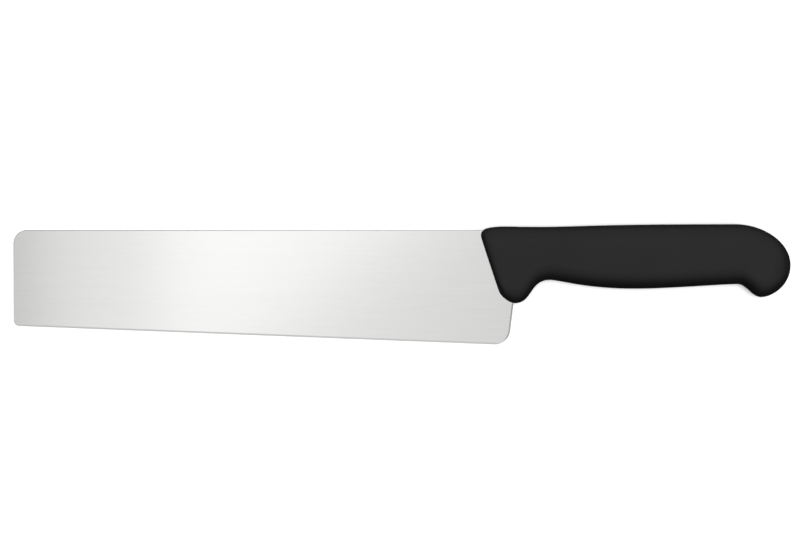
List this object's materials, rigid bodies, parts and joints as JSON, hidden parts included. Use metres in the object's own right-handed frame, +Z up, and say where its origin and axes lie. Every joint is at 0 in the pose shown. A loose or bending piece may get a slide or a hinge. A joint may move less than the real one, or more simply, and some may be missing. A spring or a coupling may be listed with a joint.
{
  "type": "pastry knife",
  "caption": "Straight-edged pastry knife: a long, tall blade of ground steel with a square rounded tip end, in a moulded handle with finger guard and hooked pommel.",
  "frame": {"origin": "on the surface that the knife's flat handle side lies on, under the middle of the knife's box", "axes": "+X from the tip end to the butt, +Y from the cutting edge to the spine, +Z up, square to the blade's middle plane"},
  "size_m": [0.4058, 0.0628, 0.022],
  "materials": {
    "blade_steel": "stainless steel sheet, flat ground and finely brushed along the blade",
    "handle_plastic": "black polypropylene, moulded with a fine matt texture"
  },
  "bodies": {
    "root": {"blade": "blade_steel", "handle": "handle_plastic"}
  },
  "joints": []
}
